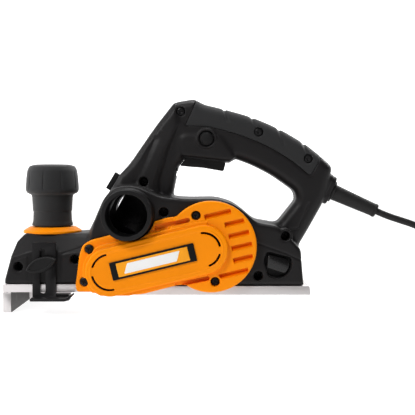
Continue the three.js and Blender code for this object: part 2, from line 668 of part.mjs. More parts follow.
add('rebate_stop', rebateStop(), 'darkSteel');
add('rebate_wing_bolt', wingBolt(6.6), 'shellDark', groupAt(STOP.x, STOP.yOut - GAP, STOP.z));
const guideKnob = groupAt(GUIDE_BOLT.x, 46.6 + GAP, GUIDE_BOLT.z);
guideKnob.rotation.z = Math.PI;
add('guide_wing_bolt', wingBolt(12), 'shellDark', guideKnob);

// ---------------------------------------------------------------- controls, storage, lead

function trigger() {
  const lever = plate([
    [-27, 122, 1.5], [-17, 121, 1], [-3.5, 120, 3], [15.6, 116.6, 1.5], [17.6, 124, 1], [16, 129, 2], [4, 131.5], [2, 134.6],
    [-14, 134.6], [-16, 132.4], [-20, 131.6, 1],
  ], -8.3, 8.3);
  return join(lever, rod(TRIGGER_PIVOT.x, TRIGGER_PIVOT.z, 1.8, -11, 11, 12));
}

add('trigger', trigger(), 'shellDark');
add('switch_body', box(-25.6, 15.6, -9.2, 9.2, 139.4, 160.6), 'shellDark');
add('lock_button', join(rod(0, 0, LOCK.r, -GRIP - 3, -13, 20), rod(0, 0, LOCK.r - 1.2, -GRIP - 4, -14, 20)),
  'shellDark', groupAt(LOCK.x, 0, LOCK.z));
add('spanner_holder', plate([[-10, -3], [-9, 9.5, 2], [11, 4.5, 3], [10.5, -4, 3], [7, -8.6, 2], [-9, -3.5, 1]], -8.6, 0),
  'shell', groupAt(STORE.x, -32.4, STORE.z));

const glandGroup = groupAt(GLAND.x, 0, GLAND.z);
glandGroup.rotation.y = -GLAND.slope;
add('strain_relief', new THREE.LatheGeometry([[0, -6], [8.5, -6], [8.5, 0.4], [10.4, 0.4], [10.4, 2.4], [7.8, 3],
  [6.3, GLAND.length], [0, GLAND.length]].map(([r, x]) => new THREE.Vector2(r, x)), 20)
  .rotateZ(-Math.PI / 2), 'rubber', glandGroup);

// ---------------------------------------------------------------- the lead

const cordRoute = [
  [166.8, 0, 77.3], [178, 0, 72.6], [191, 0, 68.2], [205, 0, 63.4], [217, 0.6, 57.2], [227, 2, 48], [235, 4.4, 36.5],
  [242, 7.4, 24], [250, 10.6, 12], [260, 13.6, 1.8], [272, 16.2, -6.2], [285, 18, -11.4], [296, 18.7, -13.5],
  [302, 18.75, FLOOR_Z + CORD_R],
].map(([x, y, z]) => new THREE.Vector3(x, y, z));

add('power_cord', tube(cordRoute, CORD_R, 8, 20), 'rubber');
add('cord_coil', new THREE.LatheGeometry([
  [COIL.rIn, 2], [COIL.rIn + 2, 0], [COIL.rOut - 2, 0], [COIL.rOut, 2], [COIL.rOut, COIL.high - 2],
  [COIL.rOut - 2, COIL.high], [COIL.rIn + 2, COIL.high], [COIL.rIn, COIL.high - 2], [COIL.rIn, 2],
].map(([r, z]) => new THREE.Vector2(r, z)), 36).rotateX(Math.PI / 2), 'rubber', groupAt(COIL.x, COIL.y, FLOOR_Z));

/** A two-pin plug along x, cord end at x = 0, resting on z = 0. */
function mainsPlug() {
  const axis = 10.5;
  const rodX = (r, xLow, xHigh, y, segments) => new THREE.CylinderGeometry(r, r, xHigh - xLow, segments)
    .rotateZ(Math.PI / 2).translate((xLow + xHigh) / 2, y, axis);
  const outline = new THREE.Shape();
  outline.moveTo(20, -5);
  outline.quadraticCurveTo(26, -17, 40, -17);
  outline.lineTo(54, -17);
  outline.lineTo(54, 17);
  outline.lineTo(40, 17);
  outline.quadraticCurveTo(26, 17, 20, 5);
  outline.closePath();
  const body = new THREE.ExtrudeGeometry(outline, { depth: 2 * axis, bevelEnabled: false, curveSegments: 4 });
  return join(body, rodX(5, 0, 24, 0, 16), rodX(2.4, 53, 73, -9.5, 12), rodX(2.4, 53, 73, 9.5, 12));
}

const plugGroup = groupAt(COIL.x + 14, COIL.y - 30, FLOOR_Z + COIL.high + GAP);
plugGroup.rotation.z = Math.PI;
add('mains_plug', mainsPlug(), 'rubber', plugGroup);

export default planer;
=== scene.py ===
import json
import math

import bmesh
import bpy
import numpy as np
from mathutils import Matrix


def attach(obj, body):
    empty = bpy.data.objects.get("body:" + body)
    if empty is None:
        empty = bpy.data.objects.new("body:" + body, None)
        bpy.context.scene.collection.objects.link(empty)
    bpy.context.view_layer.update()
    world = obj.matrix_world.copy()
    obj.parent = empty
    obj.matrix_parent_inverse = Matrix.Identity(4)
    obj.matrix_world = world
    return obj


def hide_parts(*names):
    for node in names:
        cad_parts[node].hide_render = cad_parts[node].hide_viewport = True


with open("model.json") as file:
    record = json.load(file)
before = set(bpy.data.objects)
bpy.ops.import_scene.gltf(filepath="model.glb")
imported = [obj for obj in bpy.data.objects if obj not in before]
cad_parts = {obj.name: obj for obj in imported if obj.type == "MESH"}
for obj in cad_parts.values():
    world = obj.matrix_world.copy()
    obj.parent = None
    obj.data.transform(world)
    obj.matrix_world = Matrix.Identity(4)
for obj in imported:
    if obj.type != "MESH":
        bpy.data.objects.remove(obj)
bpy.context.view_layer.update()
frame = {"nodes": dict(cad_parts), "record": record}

import openvdb
from mathutils import Matrix, Vector

# Electric hand planer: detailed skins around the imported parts.
# Shapes are written in "design" millimetres (rear sole at z = 0) and moved to the row frame by ORIGIN.

ORIGIN = np.array([12.2, 6.3, 17.0])
MM = 0.001

# ---------------------------------------------------------------- driving sizes, design millimetres

SIDE = 42.0
GRIP = 19.0
COLUMN = 27.0
DRUM = (-90.4, 23.4)
MOTOR = (-3.7, 44.3)
BELT_TILT = math.atan2(MOTOR[1] - DRUM[1], MOTOR[0] - DRUM[0])
OUTLET = (-74.0, 76.5)
OUTLET_BORE = 19.5
KNOB_X = -153.2
COVER_INNER = -42.3
RIM_FACE = -48.0
DISC_FACE = -53.0
CASE_FACE = -59.0
DISC = (3.3, 46.5, 42.7)
CASE_R = 22.6
STORE = (66.2, 28.9)
GLAND = (121.6, 97.3)
GLAND_SLOPE = math.radians(-23.9)
GLAND_LENGTH = 49.0
STOP = (-155.2, 29.5)
LEVER = (-89.5, 104.5)
LEVER_TILT = math.radians(31)
LOCK = (-0.9, 148.1, 6.4)
CORD_R = 3.25
SCREW_SEAT_R = 4.5
SCREW_HOLE_R = 2.3
FLOOR = -17.0
COIL = (327.6, -25.5)

# x, z, y of the outer face, depth of the head below it
HOUSING_SCREWS = [
    (-25.9, 174.3, -GRIP, 1.7), (49.4, 154.6, -GRIP, 1.7), (97.4, 128.8, -GRIP, 1.7), (-61.2, 106.7, -26, 10),
    (-41.3, 78.3, -SIDE, 15), (73.7, 55.5, -SIDE, 15), (48, 18.1, -SIDE, 15), (-178.7, 26.9, -SIDE, 15),
    (-125.3, 33.8, -SIDE, 15),
]
COVER_SCREWS = [
    (-110.5, 44, RIM_FACE), (-115.3, 13.4, RIM_FACE), (-10.7, 75.8, DISC_FACE), (7.1, 14, DISC_FACE),
]

HANDLE_OUTLINE = [
    (-114, 60), (-96, 94, 6), (-84, 114, 8), (-75.5, 124, 6), (-50.5, 159, 12), (-31, 183.5, 3),
    (-13, 186.6, 3), (-3.6, 181.4, 4), (15, 177, 8), (42.5, 169.4, 12), (69.3, 158.1, 12), (95, 143.1, 8),
    (109, 132, 5), (121.5, 121, 5), (113.5, 88, 8), (96, 56.6, 10), (86, 40), (-110, 40),
]
HAND_OPENING = [
    (-36, 84, 3), (-28.5, 121, 2), (-21, 131.2, 2), (18.6, 125.4), (21.5, 125.4), (27, 129, 3),
    (42.5, 123.4, 8), (61.4, 113.8, 8), (74, 105.2, 6), (84.5, 97.5, 5), (86.5, 89, 5), (68.3, 66, 5),
    (44.4, 64, 5),
]
BODY_OUTLINE = [
    (-191.8, 10.5), (-191.8, 14.3), (-182, 49.5, 1.5), (-175, 57.3, 1.5), (-124, 57.3, 4),
    (-110.5, 65, 3), (-96, 93, 6), (-88, 101, 6), (-62, 101, 8), (-44, 93, 6), (-21.4, 90.5, 8),
    (8.3, 91, 8), (23.7, 86.4, 6), (34.2, 79.2, 6), (46.5, 68.3, 5), (66, 65, 5), (82.3, 49.5, 4),
    (88.3, 43, 5), (89, 32), (91, 9),
]
COLUMN_OUTLINE = [
    (-113, 60), (-96, 94), (-84, 114), (-74, 124), (-50.5, 159, 8), (-32, 182.5, 2), (-27.5, 178),
    (-24, 162.7, 4), (-35.2, 133.4, 6), (-44.4, 103.7, 6), (-40, 60),
]
CHIP_ROOM = [(-110, 28), (-107, 60, 6), (-93, 90, 4), (-80, 98, 4), (-56.5, 92, 4), (-56.5, 60, 4), (-68, 30)]
COLUMN_SEAM = [(-29, 184), (-24, 162.7), (-35.2, 133.4), (-44.4, 103.7), (-50, 70)]
COLUMN_VALLEY = [(-50.6, 147.5), (-60, 125), (-68.3, 107.8)]
GRIP_SEAM = [
    (-21.4, 160.5), (-4, 160.5, 8), (13.2, 157.3, 8), (34.2, 151, 8), (59.4, 140.6, 8), (80.4, 128, 8),
    (99.5, 112.5, 3), (114, 137), (60, 190), (-8, 190),
]
COVER_RIM = [
    (-124, 9, 2), (-122.4, 3.8, 2.5), (-104.5, 3.8, 2), (-99.7, 0.9, 2), (-62, 1.2, 5), (-30, 9.5, 4),
    (0, 12, 4), (0, 78, 6), (-37.6, 73.5, 3), (-51.6, 69.2), (-92.8, 56.8, 3), (-109.8, 52.3, 4),
    (-117, 47.5, 3), (-120, 38.5, 3),
]


def row(point):
    """A design point in millimetres as a row-frame point in metres."""
    return Vector((np.array(point, float) + ORIGIN) * MM)


# ---------------------------------------------------------------- solids as distance fields


def rounded(corners, pieces=6):
    """The points of an outline whose (x, z, reach) corners are rounded off."""
    points = []
    count = len(corners)
    for i, corner in enumerate(corners):
        at = np.array(corner[:2], float)
        reach = corner[2] if len(corner) > 2 else 0
        if reach == 0:
            points.append(at)
            continue
        before = np.array(corners[i - 1][:2], float) - at
        after = np.array(corners[(i + 1) % count][:2], float) - at
        reach = min(reach, 0.45 * np.linalg.norm(before), 0.45 * np.linalg.norm(after))
        start = at + before / np.linalg.norm(before) * reach
        end = at + after / np.linalg.norm(after) * reach
        for t in np.linspace(0, 1, pieces):
            points.append((1 - t) ** 2 * start + 2 * t * (1 - t) * at + t * t * end)
    return points


def line_distance(points, px, pz, closed=False):
    """The unsigned distance to a run of straight pieces."""
    ends = points[1:] + points[:1] if closed else points[1:]
    best = np.full(np.broadcast(px, pz).shape, 1e12, np.float32)
    for (ax, az), (bx, bz) in zip(points, ends):
        ex, ez = bx - ax, bz - az
        t = np.clip(((px - ax) * ex + (pz - az) * ez) / max(ex * ex + ez * ez, 1e-9), 0, 1)
        best = np.minimum(best, (px - ax - t * ex) ** 2 + (pz - az - t * ez) ** 2)
    return np.sqrt(best)


def outline_distance(corners, px, pz):
    """The distance to a closed outline, negative inside it."""
    points = rounded(corners)
    inside = np.zeros(np.broadcast(px, pz).shape, bool)
    for (ax, az), (bx, bz) in zip(points, points[1:] + points[:1]):
        if az != bz:
            crosses = ((az <= pz) != (bz <= pz)) & (px < ax + (bx - ax) * (pz - az) / (bz - az))
            inside ^= crosses
    return np.where(inside, -1, 1) * line_distance(points, px, pz, closed=True)


def both(a, b, r=0.0):
    """Where two solids overlap, with an edge of radius r."""
    if r == 0:
        return np.maximum(a, b)
    u, v = a + r, b + r
    return np.minimum(np.maximum(u, v), 0) + np.hypot(np.maximum(u, 0), np.maximum(v, 0)) - r


def either(a, b, r=0.0):
    """Two solids joined, with a fillet of about r."""
    if r == 0:
        return np.minimum(a, b)
    near = np.maximum(r - np.abs(a - b), 0) / r
    return np.minimum(a, b) - near * near * r / 4


def without(a, b, r=0.0):
    return both(a, -b, r)


def smooth(value, low, high):
    t = np.clip((value - low) / (high - low), 0, 1)
    return t * t * (3 - 2 * t)


class Block:
    """A box of space sampled on a grid, in which a solid is drawn as a distance field."""

    def __init__(self, low, high, step):
        self.step = step * 1
        self.low = np.array(low, float)
        counts = np.ceil((np.array(high) - self.low) / self.step).astype(int) + 1
        axes = [(self.low[k] + self.step * np.arange(counts[k])).astype(np.float32) for k in range(3)]
        self.x, self.y, self.z = np.meshgrid(*axes, indexing="ij", sparse=True)

    def outline(self, corners):
        return outline_distance(corners, self.x, self.z)

    def near_line(self, points):
        return line_distance(points, self.x, self.z)

    def between(self, low, high):
        return np.maximum(low - self.y, self.y - high)

    def plate(self, corners, low, high, r=0.0):
        return both(self.outline(corners), self.between(low, high), r)

    def rod(self, x, z, radius, low, high, r=0.0):
        return both(np.hypot(self.x - x, self.z - z) - radius, self.between(low, high), r)

    def box(self, low, high, r=0.0):
        d = np.maximum(low[0] - self.x, self.x - high[0])
        d = both(d, np.maximum(low[1] - self.y, self.y - high[1]), r)
        return both(d, np.maximum(low[2] - self.z, self.z - high[2]), r)

    def mesh(self, name, field, flatness=0.02):
        """The surface of a field as a mesh object in the row frame."""
        band = 3 * self.step
        grid = openvdb.FloatGrid(background=band)
        grid.copyFromArray(np.clip(np.broadcast_to(field, self.shape()), -band, band).astype(np.float32))
        points, triangles, quads = grid.convertToPolygons(isovalue=0.0, adaptivity=flatness)
        points = (points * self.step + self.low + ORIGIN) * MM
        return solid_mesh(name, points, [*quads.tolist(), *triangles.tolist()])

    def shape(self):
        return np.broadcast_shapes(self.x.shape, self.y.shape, self.z.shape)


def solid_mesh(name, points, faces):
    """A smooth closed mesh object with its faces outwards."""
    mesh = bpy.data.meshes.new(name)
    mesh.from_pydata([tuple(p) for p in np.asarray(points, float)], [], faces)
    shaped = bmesh.new()
    shaped.from_mesh(mesh)
    if shaped.calc_volume(signed=True) < 0:
        bmesh.ops.reverse_faces(shaped, faces=shaped.faces)
    shaped.to_mesh(mesh)
    shaped.free()
    mesh.polygons.foreach_set("use_smooth", np.ones(len(mesh.polygons), bool))
    made = bpy.data.objects.new(name, mesh)
    bpy.context.scene.collection.objects.link(made)
    return made


def lathe(name, profile, place, axis="z", segments=96, shape_radius=None):
    """A closed (radius, height) profile turned about an axis; shape_radius may vary the radius by angle."""
    angles = np.linspace(0, 2 * math.pi, segments, endpoint=False)
    points, faces = [], []
    for r, h in profile:
        radii = np.full(segments, float(r)) if shape_radius is None else shape_radius(r, h, angles)
        points += [(radii[k] * math.cos(a), radii[k] * math.sin(a), h) for k, a in enumerate(angles)]
    for i in range(len(profile) - 1):
        for k in range(segments):
            n = (k + 1) % segments
            faces.append((i * segments + k, i * segments + n, (i + 1) * segments + n, (i + 1) * segments + k))
    for i in (0, len(profile) - 1):
        faces.append(tuple(range(i * segments, (i + 1) * segments)))
    turned = solid_mesh(name, np.array(points) * MM, faces)
    turns = {"z": Matrix(), "y": Matrix.Rotation(math.pi / 2, 4, "X"), "gland": GLAND_TURN}
    turned.data.transform(Matrix.Translation(row(place)) @ turns[axis])
    sharpen(turned)
    return turned


GLAND_TURN = Matrix.Rotation(-GLAND_SLOPE, 4, "Y") @ Matrix.Rotation(math.pi / 2, 4, "Y")


def sharpen(thing, degrees=38):
    thing.data.set_sharp_from_angle(angle=math.radians(degrees))


def softened(node, width=0.4, segments=3, sharp=30):
    """A copy of a CAD piece with its edges rounded over."""
    source = frame["nodes"][node].data
    made = bpy.data.objects.new(node + "_soft", source.copy())
    bpy.context.scene.collection.objects.link(made)
    shaped = bmesh.new()
    shaped.from_mesh(made.data)
    bmesh.ops.remove_doubles(shaped, verts=shaped.verts, dist=1e-6)
    bmesh.ops.dissolve_limit(shaped, angle_limit=math.radians(1.5), verts=shaped.verts, edges=shaped.edges)
    shaped.to_mesh(made.data)
    shaped.free()
    made.data.polygons.foreach_set("use_smooth", np.ones(len(made.data.polygons), bool))
    bevel = made.modifiers.new("edges", "BEVEL")
    bevel.width = width * MM
    bevel.segments = segments
    bevel.limit_method = "ANGLE"
    bevel.angle_limit = math.radians(sharp)
    bevel.harden_normals = True
    return made


# ---------------------------------------------------------------- materials


def add_node(tree, kind, **values):
    made = tree.nodes.new(kind)
    for key, value in values.items():
        if key in made.inputs:
            made.inputs[key].default_value = value
        else:
            setattr(made, key, value)
    return made


def texture(tree, place, scale, detail=3.0, rough=0.55, stretch=(1, 1, 1)):
    """Noise in the piece's own metres; stretch makes it run along one direction."""
    mapping = add_node(tree, "ShaderNodeMapping")
    mapping.inputs["Scale"].default_value = stretch
    tree.links.new(place, mapping.inputs["Vector"])
    noise = add_node(tree, "ShaderNodeTexNoise", Scale=scale, Detail=detail, Roughness=rough)
    tree.links.new(mapping.outputs["Vector"], noise.inputs["Vector"])
    return noise.outputs["Fac"]


def ranged(tree, source, low, high, start=0.3, end=0.7):
    made = add_node(tree, "ShaderNodeMapRange")
    made.inputs["From Min"].default_value = start
    made.inputs["From Max"].default_value = end
    made.inputs["To Min"].default_value = low
    made.inputs["To Max"].default_value = high
    tree.links.new(source, made.inputs["Value"])
    return made.outputs["Result"]


def mixed(tree, factor, first, second):
    made = add_node(tree, "ShaderNodeMix", data_type="RGBA")
    made.inputs[6].default_value = (*first, 1)
    if isinstance(second, tuple):
        made.inputs[7].default_value = (*second, 1)
    else:
        tree.links.new(second, made.inputs[7])
    tree.links.new(factor, made.inputs[0])
    return made.outputs[2]


def finish(name, color, rough, worn=None, metal=0.0, grain=900.0, grain_depth=0.00006, wave=14.0,
           wave_depth=0.0, stretch=(1, 1, 1), spread=0.08, coat=0.0, sheen=0.0, shine=0.3):
    """A surface with fine grain, slow changes of colour and roughness, and rubbed patches."""
    made = bpy.data.materials.new(name)
    made.use_nodes = True
    tree = made.node_tree
    shader = tree.nodes["Principled BSDF"]
    shader.inputs["Metallic"].default_value = metal
    shader.inputs["Specular IOR Level"].default_value = 0.5 if metal else shine
    shader.inputs["Coat Weight"].default_value = coat
    shader.inputs["Coat Roughness"].default_value = 0.12
    shader.inputs["Sheen Weight"].default_value = sheen
    place = add_node(tree, "ShaderNodeTexCoord").outputs["Object"]
    fine = texture(tree, place, grain, 2.0, 0.5, stretch)
    slow = texture(tree, place, wave, 4.0, 0.6)
    worn = worn or tuple(min(1, c * 1.25 + 0.004) for c in color)
    dust = texture(tree, place, 60.0, 6.0, 0.7)
    base = mixed(tree, ranged(tree, slow, 0.0, 1.0, 0.35, 0.7), tuple(c * 0.93 for c in color), color)
    rubbed = ranged(tree, dust, 0.0, 0.5, 0.62, 0.8)
    tree.links.new(mixed(tree, rubbed, color, worn), shader.inputs["Base Color"])
    blend = tree.nodes[-1]
    tree.links.new(base, blend.inputs[6])
    rough_mix = add_node(tree, "ShaderNodeMath", operation="ADD")
    tree.links.new(ranged(tree, slow, rough - spread, rough + spread), rough_mix.inputs[0])
    tree.links.new(ranged(tree, fine, -0.04, 0.04), rough_mix.inputs[1])
    tree.links.new(rough_mix.outputs[0], shader.inputs["Roughness"])
    bump = add_node(tree, "ShaderNodeBump", Strength=1.0, Distance=grain_depth)
    tree.links.new(fine, bump.inputs["Height"])
    if wave_depth:
        under = add_node(tree, "ShaderNodeBump", Strength=1.0, Distance=wave_depth)
        tree.links.new(slow, under.inputs["Height"])
        tree.links.new(under.outputs["Normal"], bump.inputs["Normal"])
    tree.links.new(bump.outputs["Normal"], shader.inputs["Normal"])
    return made


PAINTS = {
    "shell": finish("moulded_black", (0.010, 0.0088, 0.0094), 0.46, grain=1500, grain_depth=0.00005,
                    sheen=0.05),
    "shell_dark": finish("moulded_dark", (0.007, 0.0066, 0.007), 0.5, grain=1300, grain_depth=0.00005),
    "shell_gloss": finish("polished_black", (0.008, 0.0075, 0.008), 0.24, coat=0.4),
    "soft_grip": finish("soft_grip", (0.023, 0.023, 0.024), 0.66, grain=2200, grain_depth=0.00007, sheen=0.2),
    "orange": finish("orange_plastic", (1.0, 0.32, 0.0), 0.4, (1.0, 0.36, 0.005), grain=1200,
                     grain_depth=0.00002, shine=0.16),
    "aluminium": finish("machined_aluminium", (0.74, 0.71, 0.71), 0.36, metal=0.85, grain=260,
                        grain_depth=0.00002, stretch=(1, 14, 14), wave=22),
    # painted shade: a dark metal for the edge guide's faces that turn away from the light
    "painted_shade_metal": finish("painted_shade_metal", (0.09, 0.085, 0.085), 0.5, (0.3, 0.3, 0.3), metal=0.6, grain=500),
    "steel": finish("bright_steel", (0.5, 0.5, 0.51), 0.3, metal=1.0, grain=300, stretch=(8, 1, 8)),
    "dark_steel": finish("black_oxide", (0.016, 0.015, 0.016), 0.42, (0.05, 0.046, 0.046), metal=0.5,
                         grain=700),
    "brass": finish("brass", (0.62, 0.42, 0.15), 0.35, metal=1.0),
    "copper": finish("copper_windings", (0.5, 0.2, 0.09), 0.35, metal=0.9, grain=500, stretch=(1, 9, 1),
                     grain_depth=0.0002),
    "rubber": finish("rubber", (0.02, 0.019, 0.019), 0.62, grain=1100, grain_depth=0.00005),
    "badge": finish("badge_white", (0.93, 0.93, 0.92), 0.35, grain=900, shine=0.2),
    "badge_black": finish("badge_black", (0.005, 0.005, 0.005), 0.4, shine=0.2),
    "badge_amber": finish("badge_amber", (1.0, 0.42, 0.02), 0.35, shine=0.2),
}


def paint(thing, slot, look=None):
    thing.data.materials.clear()
    thing.data.materials.append(PAINTS[look or slot])


def place(thing, body, slot, *nodes, look=None):
    """A finished piece: its material, the body it moves with and the CAD nodes that it stands for."""
    paint(thing, slot, look)
    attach(thing, body)
    if nodes:
        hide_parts(*nodes)
    return thing


# ---------------------------------------------------------------- camera, light, floor


bpy.context.scene.view_settings.view_transform = "Standard"
bpy.context.scene.view_settings.gamma = 0.9


def camera():
    made = bpy.data.objects.new("camera", bpy.data.cameras.new("camera"))
    bpy.context.scene.collection.objects.link(made)
    made.location = row((0, -841, 119))
    made.rotation_euler = (math.radians(90 - 2.6), 0, 0)
    made.data.angle = 2 * math.atan(207.5 / 851)
    made.data.clip_start = 0.01
    bpy.context.scene.camera = made


def lamp(name, at, size, watts, aim=(0, 0, 0.09), color=(1, 1, 1)):
    made = bpy.data.objects.new(name, bpy.data.lights.new(name, "AREA"))
    bpy.context.scene.collection.objects.link(made)
    made.data.shape = "RECTANGLE"
    made.data.size, made.data.size_y = size
    made.data.energy = watts
    made.data.color = color
    made.location = at
    made.rotation_euler = (Vector(aim) - Vector(at)).to_track_quat("-Z", "Y").to_euler()


def studio():
    world = bpy.data.worlds.new("studio")
    bpy.context.scene.world = world
    world.use_nodes = True
    world.node_tree.nodes["Background"].inputs["Color"].default_value = (1, 1, 1, 1)
    world.node_tree.nodes["Background"].inputs["Strength"].default_value = 0.05
    lamp("key", (-0.7, -1.1, 1.1), (0.4, 0.4), 12.5)
    lamp("top", (0.1, 0.1, 1.3), (0.9, 0.5), 12)
    lamp("left_strip", (-1.1, -0.1, 0.5), (0.25, 0.9), 6)
    lamp("rear", (0.9, 0.8, 0.8), (0.6, 0.6), 7)
    floor_z = -0.0004
    sheet = [(-7, -4, floor_z), (7, -4, floor_z), (7, 3, floor_z), (-7, 3, floor_z)]
    wall = [(-7, 3, floor_z), (7, 3, floor_z), (7, 3, 5), (-7, 3, 5)]
    staged("floor", sheet, 0.3, 0.86)
    staged("backdrop", wall, 0.6, 1.0)


def staged(name, corners, albedo, glow):
    """A plain white sheet of the studio."""
    sheet = solid_mesh(name, corners, [(0, 1, 2, 3)])
    white = bpy.data.materials.new(name + "_white")
    white.use_nodes = True
    shader = white.node_tree.nodes["Principled BSDF"]
    shader.inputs["Base Color"].default_value = (albedo, albedo, albedo, 1)
    shader.inputs["Roughness"].default_value = 0.9
    shader.inputs["Emission Color"].default_value = (1, 1, 1, 1)
    shader.inputs["Emission Strength"].default_value = glow
    sheet.data.materials.append(white)


# ---------------------------------------------------------------- the lead

CORD_ROUTE = [
    (166.8, 0, 77.3), (178, 0, 72.6), (191, 0, 68.2), (205, 0, 63.4), (217, 0.6, 57.2), (227, 2, 48),
    (235, 4.4, 36.5), (242, 7.4, 24), (250, 10.6, 12), (260, 13.6, 1.8), (272, 16.2, -6.2),
    (285, 18, -11.4), (296, 18.7, -13.5), (302, 18.75, FLOOR + CORD_R), (315, 18.75, FLOOR + CORD_R),
]
COIL_PITCH = 6.65
COIL_OUTER = 44.25
COIL_TURNS = 7.0
# (turn, ring from outside, layer) where the winding changes ring or layer, from one turn to the next
COIL_STEPS = [
    (0.0, 0, 0), (0.8, 0, 0), (1.0, 1, 0), (1.8, 1, 0), (2.0, 2, 0), (2.6, 2, 0), (2.8, 2, 1),
    (3.4, 2, 1), (3.6, 1, 1), (4.4, 1, 1), (4.6, 0, 1), (5.2, 0, 1), (5.4, 0, 2), (6.0, 0, 2),
    (6.2, 1, 2), (6.75, 1, 2), (7.0, 1, 3),
]
PLUG_END = (COIL[0] + 14, COIL[1] - 30, FLOOR + 19.8 + 0.3 + 10.5)


def coil_points(per_turn=24):
    turns = np.arange(0, COIL_TURNS, 1 / per_turn)
    steps = np.array(COIL_STEPS, float)
    ring, layer = [], []
    for t in turns:
        k = min(np.searchsorted(steps[:, 0], t, side="right") - 1, len(steps) - 2)
        share = smooth(t, steps[k, 0], steps[k + 1, 0])
        ring.append(steps[k, 1] + (steps[k + 1, 1] - steps[k, 1]) * share)
        layer.append(steps[k, 2] + (steps[k + 1, 2] - steps[k, 2]) * share)
    radius = COIL_OUTER - COIL_PITCH * np.array(ring)
    height = FLOOR + CORD_R + COIL_PITCH * np.array(layer)
    angle = math.pi / 2 - 2 * math.pi * turns
    wound = zip(radius, angle, height)
    return [(COIL[0] + r * math.cos(a), COIL[1] + r * math.sin(a), h) for r, a, h in wound]


def coil_end():
    """From the top of the coil over to the plug that lies on it, on a wide quarter turn and a second one."""
    start = np.array([COIL[0], COIL[1] + COIL_OUTER - COIL_PITCH])
    corner = np.array([COIL[0] + 44.5, COIL[1]])
    points = []
    low = FLOOR + CORD_R + 3 * COIL_PITCH
    for t in np.linspace(0, 1, 12)[:-1]:
        a = math.pi / 2 * t
        points.append((start[0] + 44.5 * math.sin(a), corner[1] + 37.6 * math.cos(a), low + 1.5 * t))
    for t in np.linspace(0, 1, 12)[:-1]:
        a = math.pi / 2 * t
        points.append((PLUG_END[0] + 30.5 * math.cos(a), corner[1] - 30 * math.sin(a),
                       low + 1.5 + (PLUG_END[2] - low - 1.5) * t))
    return [*points, (PLUG_END[0] + 0.3, PLUG_END[1], PLUG_END[2])]


def lead():
    points = [*CORD_ROUTE, *coil_points(), *coil_end()]
    curve = bpy.data.curves.new("lead", "CURVE")
    curve.dimensions = "3D"
    spline = curve.splines.new("BEZIER")
    spline.bezier_points.add(len(points) - 1)
    for knot, point in zip(spline.bezier_points, points):
        knot.co = row(point)
        knot.handle_left_type = knot.handle_right_type = "AUTO"
    curve.resolution_u = 4
    curve.bevel_depth = CORD_R * MM
    curve.bevel_resolution = 4
    curve.use_fill_caps = True
    made = bpy.data.objects.new("lead", curve)
    bpy.context.scene.collection.objects.link(made)
    return made


PIN_PROFILE = [(0.01, 0), (2.4, 0), (2.4, 17), (2.0, 18.6), (1.0, 19.2), (0.01, 19.3)]


def plug():
    """A moulded two-pin plug, in design millimetres around its own cord end."""
    block = Block((-75, -20, -1), (2, 20, 23), 0.5)
    x, y, z = -block.x, block.y, block.z - 10.5
    half = 4.6 + 12.4 * smooth(x, 18, 40)
    body = both(np.maximum(18 - x, x - 54), np.abs(y) - half, 3)
    body = both(body, np.abs(z) - 10.5 + 4 * (1 - smooth(x, 16, 36)), 3)
    ribs = 0.7 * np.exp(-(((x - 44) % 4 - 2) / 0.9) ** 2) * (np.abs(x - 42) < 7)
    body = body + ribs * smooth(np.abs(y), 12, 15)
    neck = both(np.hypot(y, z) - 5 + 0.06 * np.maximum(20 - x, 0), np.maximum(0.2 - x, x - 24), 0.6)
    rings = 0.6 * np.exp(-((x % 4 - 2) / 0.8) ** 2) * (x < 17)
    field = either(body, neck + rings, 3)
    made = block.mesh("plug", field)
    pins = []
    for side in (-9.5, 9.5):
        pin = lathe(f"plug_pin_{1 if side < 0 else 2}", PIN_PROFILE, (0, 0, 0))
        pin.data.transform(Matrix.Translation(-row((0, 0, 0))))
        laid = Matrix.Rotation(-math.pi / 2, 4, "Y")
        pin.data.transform(Matrix.Translation(Vector((-53.5, side, 10.5)) * MM) @ laid)
        pins.append(pin)
    made.data.transform(Matrix.Translation(-row((0, 0, 0))))
    for thing in (made, *pins):
        thing.data.transform(Matrix.Translation(row((PLUG_END[0], PLUG_END[1], PLUG_END[2] - 10.5))))
    return made, pins


camera()
studio()
cord = place(lead(), "body", "rubber", "power_cord", "cord_coil")
plug_body, plug_pins = plug()
place(plug_body, "body", "rubber", "mains_plug")
for pin in plug_pins:
    place(pin, "body", "rubber", look="brass")

# ---------------------------------------------------------------- housing


def handle_field(b, edge=9.0):
    ring = both(b.outline(HANDLE_OUTLINE), -b.outline(HAND_OPENING), 1.0)
    return both(ring, np.abs(b.y) - GRIP, edge)


def column_field(b):
    """The wide stem: thinner towards its seam with the handle and towards the top."""
    seam = b.near_line(COLUMN_SEAM)
    middle = COLUMN - 7.5 * smooth(b.z, 118, 184)
    beside_seam = GRIP - 1.2 + 1.05 * seam + 6 * (1 - smooth(b.z, 84, 112))
    half = np.minimum(middle, beside_seam)
    valley = 1.5 * np.maximum(1 - b.near_line(COLUMN_VALLEY) / 4.2, 0)
    edge = b.outline(COLUMN_OUTLINE)
    face = np.abs(b.y) - half + valley
    bevel = (edge + face + 4.6) * math.sqrt(0.5)
    return both(both(edge, face, 0.5), bevel, 0.8)


ROOF_SECTION = [(-SIDE, 5), (-SIDE, 40, 4), (-26, 57.5, 6), (26, 57.5, 6), (SIDE, 40, 4), (SIDE, 5)]
FRONT_ROOM = [(-38, 8), (-38, 38.5), (-24.5, 52.5), (24.5, 52.5), (38, 38.5), (38, 8)]


def body_field(b):
    field = both(b.outline(BODY_OUTLINE), np.abs(b.y) - SIDE, 3.6)
    roof = outline_distance(ROOF_SECTION, b.y, b.z) - 2.5 * np.maximum(b.x + 114, 0)
    rising = 40 + 0.31 * np.clip(b.x + 167, -20, 56)
    chamfer = 0.74 * (np.abs(b.y) - SIDE) + 0.67 * (b.z - rising) - 2.5 * np.maximum(b.x + 112, 0)
    return both(both(field, roof, 1.5), chamfer, 0.5)


